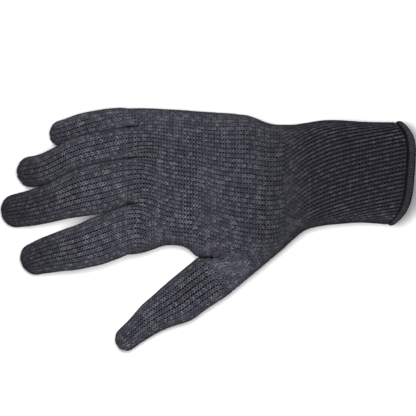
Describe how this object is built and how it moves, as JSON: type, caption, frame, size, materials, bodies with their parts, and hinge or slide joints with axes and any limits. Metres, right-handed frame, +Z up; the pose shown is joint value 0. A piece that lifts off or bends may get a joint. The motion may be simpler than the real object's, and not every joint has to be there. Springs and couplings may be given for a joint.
{
  "type": "merino wool glove",
  "caption": "Seamless knitted wool glove for the right hand, lying on its palm, with slim finger tubes, a ribbed wrist cuff and an overlocked hem.",
  "frame": {"origin": "middle of the surface under the glove", "axes": "+X from the fingertips to the cuff's mouth, +Y from the thumb's side to the little finger's side, +Z up out of the back of the hand"},
  "size_m": [0.2608, 0.1536, 0.0381],
  "materials": {
    "merino_knit": "plain-knitted charcoal merino wool, matt with a faint fuzz",
    "merino_rib": "rib-knitted charcoal merino wool, matt, a little darker",
    "merino_hem": "overlocked merino edge, dense dark yarn"
  },
  "bodies": {
    "root": {"little_finger": "merino_knit", "ring_finger": "merino_knit", "middle_finger": "merino_knit", "index_finger": "merino_knit", "thumb": "merino_knit", "hand_body": "merino_knit", "rib_cuff": "merino_rib", "cuff_hem": "merino_hem"}
  },
  "joints": []
}
